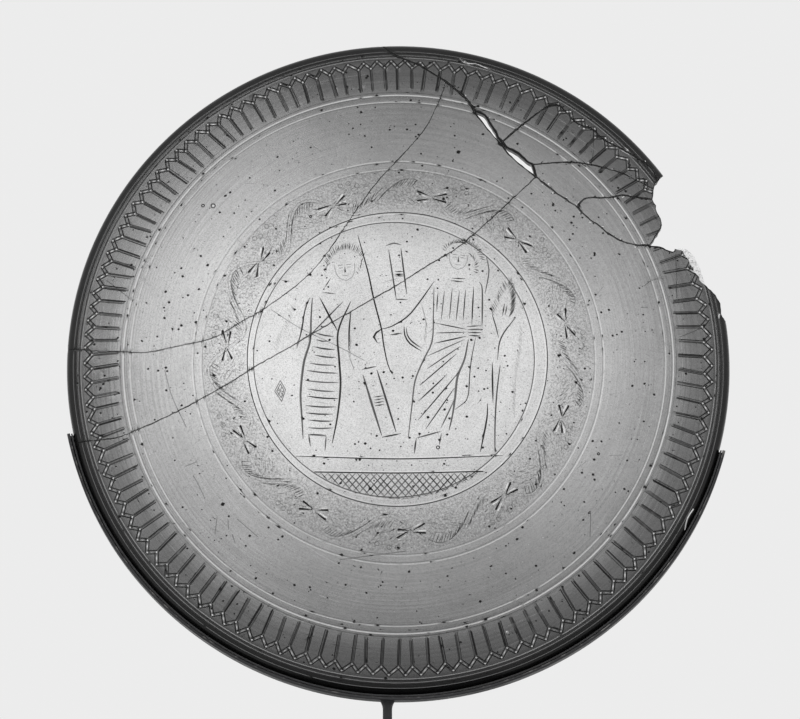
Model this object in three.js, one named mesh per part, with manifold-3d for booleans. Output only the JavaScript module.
// A shallow engraved glass dish, broken and joined again from seven fragments, on a display stand.
// Its convex, engraved side faces the viewer, on the -Y side, and it leans back in a thin metal cradle
// on a rod. Millimetres, +Z up. The origin is the middle of the stand's underside.
import * as THREE from 'three';
import { mergeVertices } from 'three/addons/utils/BufferGeometryUtils.js';
import Module from 'manifold-3d';

const wasm = await Module();
wasm.setup();

// Dish: depths are measured from the rim plane towards the engraved side
const RIM_RADIUS = 115;
const DISH_DEPTH = 20.4;
const GLASS_WALL = 3.6;
const LEAN_DEGREES = 12;
const DISH_SEGMENTS = 96;
const RIM_ROUND_STEPS = 6;
const RIM_BLEND = 0.2;

// Outer side of the dish from the middle of its floor to the rim: shares of rim radius and of depth
const OUTER_PROFILE = [
  [0, 1],
  [0.15, 0.983],
  [0.3, 0.931],
  [0.45, 0.845],
  [0.58, 0.742],
  [0.7, 0.624],
  [0.8, 0.509],
  [0.88, 0.406],
  [0.94, 0.322],
  [0.968, 0.283],
  [0.986, 0.232],
  [0.996, 0.17],
];

// Crack routes are given as seen from the front: on the curved, leaning side they lie lower by this much
// at the middle, less by the lift towards the share, and more again from there to the rim
const SEEN_DROP = 2.04;
const SEEN_LIFT = 2.5;
const SEEN_LIFT_SHARE = 0.83;
const SEEN_RIM_FALL = 5;

// Joins: the adhesive film between two fragments
const JOIN_WIDTH = 0.3;
const JOIN_OVERRUN = 0.4;
const SHARPEST_MITRE = 0.5;

// Crack routes seen from the engraved side: [degrees anticlockwise from +X, share of rim radius]
const RIM_CROSSING = 1.04;
const BEYOND_RIM = 1.14;
const RIM_ARC_STEP_DEGREES = 10;
const FULL_TURN_DEGREES = 360;
const MAIN_CRACK_DEGREES = 94;
const LOOP_CRACK_DEGREES = 176.5;
const DIAGONAL_CRACK_DEGREES = 193;
const NOTCH_UPPER_DEGREES = 37;
const NOTCH_LOWER_DEGREES = 8.6;
const MAIN_CRACK_RIM_END = [MAIN_CRACK_DEGREES, RIM_CROSSING];
const LOOP_CRACK_START = [80.7, 0.888];
const UPPER_GAP_END = [65.4, 0.744];
const DIAGONAL_CRACK_START = [54, 0.705];
const FOOT_CRACK_START = [41.4, 0.7195];
const NOTCH_FOOT = [25.5, 0.838];
const MAIN_CRACK_UPPER = [MAIN_CRACK_RIM_END, [MAIN_CRACK_DEGREES, 1], [91.2, 0.976], [86.4, 0.937],
  LOOP_CRACK_START];
const MAIN_CRACK_BESIDE_UPPER_GAP = [LOOP_CRACK_START, [76.1, 0.844], [73.2, 0.807], [70, 0.783], [67.3, 0.758],
  UPPER_GAP_END];
const LOWER_GAP_BRANCH = [57.3, 0.72];
const MAIN_CRACK_BESIDE_LOWER_GAP = [UPPER_GAP_END, [62.4, 0.729], LOWER_GAP_BRANCH];
const MAIN_CRACK_MIDDLE = [LOWER_GAP_BRANCH, DIAGONAL_CRACK_START, [49.9, 0.704], [45.6, 0.709],
  FOOT_CRACK_START];
const MAIN_CRACK_FOOT = [FOOT_CRACK_START, [37.9, 0.723], [34.7, 0.736], [32, 0.745], [28.8, 0.769],
  [26.8, 0.801], NOTCH_FOOT];
const LOOP_CRACK = [LOOP_CRACK_START, [80.9, 0.848], [83.5, 0.728], [89.4, 0.631], [96.2, 0.559], [105, 0.483],
  [116.4, 0.417], [130.4, 0.38], [143.1, 0.384], [160.1, 0.443], [165.7, 0.487], [172, 0.55], [175.9, 0.666],
  [177.7, 0.757], [177.7, 0.833], [177.2, 0.927], [LOOP_CRACK_DEGREES, 1], [LOOP_CRACK_DEGREES, RIM_CROSSING]];
const DIAGONAL_CRACK = [DIAGONAL_CRACK_START, [57.5, 0.522], [62.6, 0.396], [73.3, 0.305], [88.1, 0.24],
  [111.1, 0.205], [135, 0.209], [162.6, 0.273], [174.6, 0.344], [182.2, 0.429], [187.6, 0.513], [192, 0.638],
  [194.1, 0.748], [195, 0.834], [195, 0.876], [193.9, 0.949], [DIAGONAL_CRACK_DEGREES, 1],
  [DIAGONAL_CRACK_DEGREES, RIM_CROSSING]];
const BRANCH_CRACK_TURN = [58.7, 0.944];
const NOTCH_TOP = [36.1, 0.969];
const NOTCH_UPPER_BRANCH = [35.3, 0.946];
const NOTCH_LOWER_BRANCH = [33.7, 0.923];
const UPPER_BRANCH_CRACK = [UPPER_GAP_END, [62.6, 0.837], [60.2, 0.93], BRANCH_CRACK_TURN];
const RIMWARD_CRACK = [BRANCH_CRACK_TURN, [53.9, 0.925], [51.3, 0.94], [48.4, 0.936], [44.9, 0.954],
  [41.7, 0.97], [38.4, 0.984], NOTCH_TOP];
const MIDDLE_BRANCH_CRACK = [LOWER_GAP_BRANCH, [56.5, 0.733], [51.2, 0.791], [48.2, 0.824], [45.4, 0.854],
  [41.9, 0.89], [38.6, 0.918], NOTCH_UPPER_BRANCH];
const FOOT_CRACK = [FOOT_CRACK_START, [41.9, 0.739], [41.7, 0.76], [38.7, 0.811], [37.5, 0.849], [35.4, 0.887],
  NOTCH_LOWER_BRANCH];

// Glass that is missing: two narrow gaps along the main crack, and a notch in the rim
const UPPER_GAP = [[73.2, 0.807], [71.3, 0.806], [70, 0.792], [67.8, 0.768], [66.1, 0.747], [68.2, 0.761],
  [69.9, 0.775]];
const LOWER_GAP = [UPPER_GAP_END, [63.1, 0.737], [60.7, 0.736], [58.1, 0.728], [56.5, 0.728], [54.4, 0.708],
  [57.5, 0.71], [61.6, 0.721]];
const NOTCH_UPPER_SIDE = [[NOTCH_UPPER_DEGREES, RIM_CROSSING], [NOTCH_UPPER_DEGREES, 1], NOTCH_TOP,
  NOTCH_UPPER_BRANCH, [34.2, 0.933], NOTCH_LOWER_BRANCH, [31.1, 0.915], [28.4, 0.904], NOTCH_FOOT];
const NOTCH_LOWER_SIDE = [NOTCH_FOOT, [24.2, 0.875], [22.7, 0.895], [23.2, 0.907], [23.1, 0.941], [20, 0.961],
  [15, 0.961], [11.6, 0.992], [9.2, 0.99], [NOTCH_LOWER_DEGREES, RIM_CROSSING]];

// Cradle: one strip of L section, its web under the dish's wall and its lip behind the rim
const CRADLE_START_DEGREES = 192;
const CRADLE_END_DEGREES = 345;
const CRADLE_STRIP = 1;
const CRADLE_LIP = 1.2;
const CRADLE_LIP_REACH = 4.8;
const CRADLE_FRONT_EDGE = 4;
const CRADLE_SEGMENTS = 48;
const LINER_THICKNESS = 0.5;
const LINER_EDGE_SETBACK = 0.2;
const LINER_END_SETBACK_DEGREES = 0.1;
const SEAT_CLEARANCE = 0.3;

// Stand
const POST_RADIUS = 1.6;
const POST_EXPOSED = 30;
const POST_OFFSET_X = -3.7;
const POST_SEGMENTS = 24;
const BASE_WIDTH = 120;
const BASE_DEPTH = 110;
const BASE_THICKNESS = 8;
const BASE_CORNER = 4;
const BASE_EDGE_ROUND = 0.8;
const FELT_THICKNESS = 1;
const FELT_INSET = 1.5;
const SOCKET_RADIUS = 5;
const SOCKET_HEIGHT = 18;
const SOCKET_FLOOR = 5;
const SCREW_RADIUS = 1.5;
const SCREW_HEAD_RADIUS = 2.8;
const SCREW_HEAD_HEIGHT = 1.6;
const SCREW_REACH = 4;
const SCREW_RECESS = 1;
const SCREW_KEY = 0.9;
const SCREW_SEGMENTS = 20;
const FIT_CLEARANCE = 0.3;

const HEX_SIDES = 6;
const CUT_MARGIN = 1;
const WELD_DISTANCE = 1e-4;
const SAME_POINT = 1e-6;
const DISH_CENTRE_Y = 13;

// Sizes that follow from those above
const leanAngle = THREE.MathUtils.degToRad(LEAN_DEGREES);
const linerInner = RIM_RADIUS + SEAT_CLEARANCE;
const linerOuter = linerInner + LINER_THICKNESS;
const cradleInner = linerOuter + SEAT_CLEARANCE;
const cradleOuter = cradleInner + CRADLE_STRIP;
const linerBack = -SEAT_CLEARANCE - LINER_THICKNESS;
const lipFront = linerBack - SEAT_CLEARANCE;
const lipBack = lipFront - CRADLE_LIP;
const lipInner = cradleInner - CRADLE_LIP_REACH + CRADLE_STRIP;
const plateBottom = FELT_THICKNESS;
const plateTop = plateBottom + BASE_THICKNESS;
const socketTop = plateTop + SOCKET_HEIGHT;
const postBottom = plateTop + SOCKET_FLOOR + FIT_CLEARANCE;
const postTop = socketTop + POST_EXPOSED;
const postAlongWeb = (lipBack + CRADLE_FRONT_EDGE) / 2;
const rimCentreZ = postTop + SEAT_CLEARANCE + cradleOuter * Math.cos(leanAngle)
  - postAlongWeb * Math.sin(leanAngle) + POST_RADIUS * Math.tan(leanAngle);
const postY = DISH_CENTRE_Y - cradleOuter * Math.sin(leanAngle) - postAlongWeb * Math.cos(leanAngle);

// Closed solids from three.js geometry, and cuts between them
function solid(geometry) {
  const bare = geometry.clone();
  bare.deleteAttribute('normal');
  bare.deleteAttribute('uv');
  const merged = mergeVertices(bare, WELD_DISTANCE);
  const index = merged.index.array;
  const triangles = [];
  for (let i = 0; i < index.length; i += 3) {
    const [a, b, c] = [index[i], index[i + 1], index[i + 2]];
    if (a !== b && b !== c && a !== c) triangles.push(a, b, c);
  }
  const mesh = new wasm.Mesh({
    numProp: 3,
    vertProperties: new Float32Array(merged.attributes.position.array),
    triVerts: new Uint32Array(triangles),
  });
  return new wasm.Manifold(mesh);
}

function geometryOf(manifold) {
  const mesh = manifold.getMesh();
  const geometry = new THREE.BufferGeometry();
  geometry.setAttribute('position', new THREE.BufferAttribute(new Float32Array(mesh.vertProperties), 3));
  geometry.setIndex(new THREE.BufferAttribute(new Uint32Array(mesh.triVerts), 1));
  geometry.computeVertexNormals();
  return geometry;
}

function place([degrees, share]) {
  const angle = THREE.MathUtils.degToRad(degrees);
  const radius = share * RIM_RADIUS;
  const lifted = Math.min(share, SEEN_LIFT_SHARE);
  const drop = SEEN_DROP - SEEN_LIFT * lifted ** 2 + SEEN_RIM_FALL * (Math.min(share, 1) - lifted);
  return new THREE.Vector2(radius * Math.cos(angle), radius * Math.sin(angle) - drop);
}

// A prism across the whole depth of the dish over an outline in its plane
function prism(outline) {
  const margin = DISH_DEPTH;
  const geometry = new THREE.ExtrudeGeometry(new THREE.Shape(outline), {
    depth: DISH_DEPTH + 2 * margin,
    bevelEnabled: false,
  });
  geometry.translate(0, 0, -margin);
  return solid(geometry);
}

// A narrow band along a crack, with mitred corners and both ends run on
function crackBand(route) {
  const points = route.map(place);
  const last = points.length - 1;
  const stepAlong = (i) => points[i + 1].clone().sub(points[i]).normalize();
  points[0].addScaledVector(stepAlong(0), -JOIN_OVERRUN);
  points[last].addScaledVector(stepAlong(last - 1), JOIN_OVERRUN);
  const left = [];
  const right = [];
  points.forEach((point, i) => {
    const before = stepAlong(Math.max(i - 1, 0));
    const after = stepAlong(Math.min(i, last - 1));
    const along = before.clone().add(after).normalize();
    const across = new THREE.Vector2(-along.y, along.x);
    const reach = JOIN_WIDTH / 2 / Math.max(across.dot(new THREE.Vector2(-after.y, after.x)), SHARPEST_MITRE);
    left.push(point.clone().addScaledVector(across, reach));
    right.unshift(point.clone().addScaledVector(across, -reach));
  });
  return prism([...left, ...right]);
}

function rimArc(fromDegrees, toDegrees) {
  const steps = Math.max(2, Math.ceil(Math.abs(toDegrees - fromDegrees) / RIM_ARC_STEP_DEGREES));
  return Array.from({ length: steps + 1 }, (_, i) => [
    fromDegrees + (toDegrees - fromDegrees) * i / steps,
    BEYOND_RIM,
  ]);
}

// The wall's inner side lies one glass thickness inside its outer side
function dishProfile() {
  const outer = OUTER_PROFILE.map(([share, depth]) =>
    new THREE.Vector2(share * RIM_RADIUS, depth * DISH_DEPTH));
  const lip = GLASS_WALL / 2;
  outer.push(new THREE.Vector2(RIM_RADIUS, lip));
  const inner = outer.map((point, i) => {
    const before = outer[Math.max(i - 1, 0)];
    const after = outer[Math.min(i + 1, outer.length - 1)];
    const along = after.clone().sub(before).normalize();
    return new THREE.Vector2(point.x + along.y * GLASS_WALL, point.y - along.x * GLASS_WALL);
  });
  inner[0].set(0, DISH_DEPTH - GLASS_WALL);
  inner.pop();
  const innerSide = inner.filter((point) => point.x < RIM_RADIUS - GLASS_WALL && point.y > lip + RIM_BLEND);
  innerSide.push(new THREE.Vector2(RIM_RADIUS - GLASS_WALL, lip));
  const rim = Array.from({ length: RIM_ROUND_STEPS - 1 }, (_, i) => {
    const turn = Math.PI * (i + 1) / RIM_ROUND_STEPS;
    return new THREE.Vector2(RIM_RADIUS - lip + lip * Math.cos(turn), lip - lip * Math.sin(turn));
  });
  return [...innerSide, ...rim.reverse(), ...outer.reverse()];
}

function wholeDish() {
  const geometry = new THREE.LatheGeometry(dishProfile(), DISH_SEGMENTS);
  geometry.rotateX(Math.PI / 2);
  let dish = solid(geometry);
  const notch = [...NOTCH_UPPER_SIDE, ...NOTCH_LOWER_SIDE.slice(1),
    ...rimArc(NOTCH_LOWER_DEGREES, NOTCH_UPPER_DEGREES)];
  for (const gap of [UPPER_GAP, LOWER_GAP, notch]) dish = dish.subtract(prism(gap.map(place)));
  const cracks = [MAIN_CRACK_UPPER, MAIN_CRACK_BESIDE_UPPER_GAP, MAIN_CRACK_BESIDE_LOWER_GAP, MAIN_CRACK_MIDDLE,
    MAIN_CRACK_FOOT, LOOP_CRACK, DIAGONAL_CRACK, UPPER_BRANCH_CRACK, RIMWARD_CRACK, MIDDLE_BRANCH_CRACK,
    FOOT_CRACK];
  for (const crack of cracks) dish = dish.subtract(crackBand(crack));
  return dish;
}

// Each fragment's outline, walked once round, over the cracks that bound it
const back = (route) => [...route].reverse();
const notchBetween = (from, to) => {
  const points = [...NOTCH_UPPER_SIDE, ...NOTCH_LOWER_SIDE.slice(1)];
  const [start, end] = [points.indexOf(from), points.indexOf(to)];
  return points.slice(Math.min(start, end), Math.max(start, end) + 1);
};
const FRAGMENT_OUTLINES = {
  fragment_upper_left: [...rimArc(MAIN_CRACK_DEGREES, LOOP_CRACK_DEGREES), ...back(LOOP_CRACK),
    ...back(MAIN_CRACK_UPPER)],
  fragment_middle_strip: [...rimArc(LOOP_CRACK_DEGREES, DIAGONAL_CRACK_DEGREES), ...back(DIAGONAL_CRACK),
    ...back(MAIN_CRACK_MIDDLE.slice(0, 2)), ...back(MAIN_CRACK_BESIDE_LOWER_GAP),
    ...back(MAIN_CRACK_BESIDE_UPPER_GAP), ...LOOP_CRACK],
  fragment_lower: [...rimArc(DIAGONAL_CRACK_DEGREES, FULL_TURN_DEGREES + NOTCH_LOWER_DEGREES),
    ...back(NOTCH_LOWER_SIDE), ...back(MAIN_CRACK_FOOT), ...back(MAIN_CRACK_MIDDLE.slice(1)), ...DIAGONAL_CRACK],
  fragment_upper_right_rim: [...rimArc(NOTCH_UPPER_DEGREES, MAIN_CRACK_DEGREES), ...MAIN_CRACK_UPPER,
    ...MAIN_CRACK_BESIDE_UPPER_GAP, ...UPPER_BRANCH_CRACK, ...RIMWARD_CRACK,
    ...back(notchBetween(NOTCH_UPPER_SIDE[0], NOTCH_TOP))],
  fragment_right_inner: [...UPPER_BRANCH_CRACK, ...RIMWARD_CRACK,
    ...notchBetween(NOTCH_TOP, NOTCH_UPPER_BRANCH), ...back(MIDDLE_BRANCH_CRACK),
    ...back(MAIN_CRACK_BESIDE_LOWER_GAP)],
  fragment_right_middle: [...MIDDLE_BRANCH_CRACK, ...notchBetween(NOTCH_UPPER_BRANCH, NOTCH_LOWER_BRANCH),
    ...back(FOOT_CRACK), ...back(MAIN_CRACK_MIDDLE)],
  fragment_notch_foot: [...FOOT_CRACK, ...notchBetween(NOTCH_LOWER_BRANCH, NOTCH_FOOT),
    ...back(MAIN_CRACK_FOOT)],
};

function withoutRepeats(points) {
  return points.filter((point, i) => {
    const next = points[(i + 1) % points.length];
    return point.distanceTo(next) > SAME_POINT;
  });
}

function fragment(dish, outline) {
  return geometryOf(dish.intersect(prism(withoutRepeats(outline.map(place)))));
}

// A ring sector in the dish's plane, between two depths
function arcBand(inner, outer, fromDegrees, toDegrees, backDepth, frontDepth) {
  const from = THREE.MathUtils.degToRad(fromDegrees);
  const to = THREE.MathUtils.degToRad(toDegrees);
  const ring = (radius) => Array.from({ length: CRADLE_SEGMENTS + 1 }, (_, i) => {
    const angle = from + (to - from) * i / CRADLE_SEGMENTS;
    return new THREE.Vector2(radius * Math.cos(angle), radius * Math.sin(angle));
  });
  const shape = new THREE.Shape([...ring(outer), ...ring(inner).reverse()]);
  const geometry = new THREE.ExtrudeGeometry(shape, { depth: frontDepth - backDepth, bevelEnabled: false });
  geometry.translate(0, 0, backDepth);
  return solid(geometry);
}

function cradle() {
  const web = arcBand(cradleInner, cradleOuter, CRADLE_START_DEGREES, CRADLE_END_DEGREES, lipBack,
    CRADLE_FRONT_EDGE);
  const lip = arcBand(lipInner, cradleOuter, CRADLE_START_DEGREES, CRADLE_END_DEGREES, lipBack, lipFront);
  return geometryOf(web.add(lip));
}

function cradleLiner() {
  const from = CRADLE_START_DEGREES + LINER_END_SETBACK_DEGREES;
  const to = CRADLE_END_DEGREES - LINER_END_SETBACK_DEGREES;
  const frontEdge = CRADLE_FRONT_EDGE - LINER_EDGE_SETBACK;
  const web = arcBand(linerInner, linerOuter, from, to, linerBack, frontEdge);
  const flange = arcBand(lipInner + LINER_EDGE_SETBACK, linerOuter, from, to, linerBack, -SEAT_CLEARANCE);
  return geometryOf(web.add(flange));
}

function uprightCylinder(radius, bottom, top, segments, topRadius = radius) {
  const geometry = new THREE.CylinderGeometry(topRadius, radius, top - bottom, segments);
  geometry.rotateX(Math.PI / 2);
  geometry.translate(0, 0, (bottom + top) / 2);
  return geometry;
}

function rearwardCylinder(radius, from, to, height, segments) {
  const geometry = new THREE.CylinderGeometry(radius, radius, to - from, segments);
  geometry.translate(0, (from + to) / 2, height);
  return geometry;
}

function roundedSheet(width, depth, corner, bottom, top, edge) {
  const [x, y] = [width / 2, depth / 2];
  const shape = new THREE.Shape();
  shape.moveTo(-x + corner, -y);
  shape.lineTo(x - corner, -y);
  shape.absarc(x - corner, -y + corner, corner, -Math.PI / 2, 0);
  shape.lineTo(x, y - corner);
  shape.absarc(x - corner, y - corner, corner, 0, Math.PI / 2);
  shape.lineTo(-x + corner, y);
  shape.absarc(-x + corner, y - corner, corner, Math.PI / 2, Math.PI);
  shape.lineTo(-x, -y + corner);
  shape.absarc(-x + corner, -y + corner, corner, Math.PI, Math.PI * 1.5);
  const geometry = new THREE.ExtrudeGeometry(shape, {
    depth: top - bottom - 2 * edge,
    curveSegments: 6,
    bevelEnabled: edge > 0,
    bevelThickness: edge,
    bevelSize: edge,
    bevelOffset: -edge,
    bevelSegments: 2,
  });
  geometry.translate(0, 0, bottom + edge);
  return geometry;
}

// The post's parts below are drawn round their own axis and moved to the post afterwards
const headBottom = plateBottom + FIT_CLEARANCE;
const headTop = headBottom + SCREW_HEAD_HEIGHT;
const grubHeight = (postBottom + socketTop) / 2;
const grubTip = POST_RADIUS + FIT_CLEARANCE;

function basePlate() {
  const sheet = roundedSheet(BASE_WIDTH, BASE_DEPTH, BASE_CORNER, plateBottom, plateTop, BASE_EDGE_ROUND);
  const plate = solid(sheet);
  const hole = uprightCylinder(SCREW_RADIUS + FIT_CLEARANCE, plateBottom - CUT_MARGIN, plateTop + CUT_MARGIN,
    SCREW_SEGMENTS);
  const mouth = uprightCylinder(SCREW_HEAD_RADIUS + FIT_CLEARANCE, plateBottom - CUT_MARGIN, headBottom,
    SCREW_SEGMENTS);
  const sink = uprightCylinder(SCREW_HEAD_RADIUS + FIT_CLEARANCE, headBottom, headTop + FIT_CLEARANCE,
    SCREW_SEGMENTS, SCREW_RADIUS + FIT_CLEARANCE);
  let cut = plate;
  for (const tool of [hole, mouth, sink]) {
    tool.translate(POST_OFFSET_X, postY, 0);
    cut = cut.subtract(solid(tool));
  }
  return geometryOf(cut);
}

function postSocket() {
  const bore = POST_RADIUS + FIT_CLEARANCE;
  const block = solid(uprightCylinder(SOCKET_RADIUS, plateTop, socketTop, POST_SEGMENTS));
  const boreTool = solid(uprightCylinder(bore, plateTop + SOCKET_FLOOR, socketTop + CUT_MARGIN, POST_SEGMENTS));
  const screwTool = solid(uprightCylinder(SCREW_RADIUS + FIT_CLEARANCE, plateTop - CUT_MARGIN,
    plateTop + SCREW_REACH + FIT_CLEARANCE, SCREW_SEGMENTS));
  const grubTool = solid(rearwardCylinder(SCREW_RADIUS + FIT_CLEARANCE, 0, SOCKET_RADIUS + CUT_MARGIN,
    grubHeight, SCREW_SEGMENTS));
  return geometryOf(block.subtract(boreTool).subtract(screwTool).subtract(grubTool));
}

function socketScrew() {
  const shank = solid(uprightCylinder(SCREW_RADIUS, headBottom, plateTop + SCREW_REACH, SCREW_SEGMENTS));
  const head = solid(uprightCylinder(SCREW_HEAD_RADIUS, headBottom, headTop, SCREW_SEGMENTS, SCREW_RADIUS));
  const key = solid(uprightCylinder(SCREW_KEY, headBottom - CUT_MARGIN, headBottom + SCREW_RECESS, HEX_SIDES));
  return geometryOf(shank.add(head).subtract(key));
}

function grubScrew() {
  const body = solid(rearwardCylinder(SCREW_RADIUS, grubTip, SOCKET_RADIUS, grubHeight, SCREW_SEGMENTS));
  const key = solid(rearwardCylinder(SCREW_KEY, SOCKET_RADIUS - SCREW_RECESS, SOCKET_RADIUS + CUT_MARGIN,
    grubHeight, HEX_SIDES));
  return geometryOf(body.subtract(key));
}

const glassMaterial = () => new THREE.MeshStandardMaterial({
  color: 0xb9bcb8,
  roughness: 0.25,
  metalness: 0,
  transparent: true,
  opacity: 0.6,
});
const blackMaterial = () => new THREE.MeshStandardMaterial({ color: 0x141414, roughness: 0.55, metalness: 0.4 });
const feltMaterial = () => new THREE.MeshStandardMaterial({ color: 0x1b1b1c, roughness: 0.95, metalness: 0 });
const steelMaterial = () => new THREE.MeshStandardMaterial({ color: 0x9a9a98, roughness: 0.35, metalness: 0.9 });

function named(name, geometry, material) {
  const mesh = new THREE.Mesh(geometry, material);
  mesh.name = name;
  return mesh;
}

// The dish and its cradle share one leaning frame: X right, Y up the dish, Z out of the engraved side
function leaningGroup() {
  const group = new THREE.Group();
  group.rotation.x = Math.PI / 2 - leanAngle;
  group.position.set(0, DISH_CENTRE_Y, rimCentreZ);
  const dish = wholeDish();
  for (const [name, outline] of Object.entries(FRAGMENT_OUTLINES)) {
    group.add(named(name, fragment(dish, outline), glassMaterial()));
  }
  group.add(named('cradle', cradle(), blackMaterial()));
  group.add(named('cradle_liner', cradleLiner(), feltMaterial()));
  return group;
}

function standGroup() {
  const group = new THREE.Group();
  const atPost = new THREE.Group();
  atPost.position.set(POST_OFFSET_X, postY, 0);
  const rod = uprightCylinder(POST_RADIUS, postBottom, postTop, POST_SEGMENTS);
  atPost.add(named('cradle_post', rod, blackMaterial()));
  atPost.add(named('post_socket', postSocket(), blackMaterial()));
  atPost.add(named('socket_screw', socketScrew(), steelMaterial()));
  atPost.add(named('grub_screw', grubScrew(), steelMaterial()));
  group.add(atPost);
  group.add(named('base_plate', basePlate(), blackMaterial()));
  const felt = roundedSheet(BASE_WIDTH - 2 * FELT_INSET, BASE_DEPTH - 2 * FELT_INSET,
    BASE_CORNER - FELT_INSET, 0, FELT_THICKNESS, 0);
  group.add(named('base_felt', felt, feltMaterial()));
  return group;
}

const part = new THREE.Group();
part.add(leaningGroup());
part.add(standGroup());

export default part;
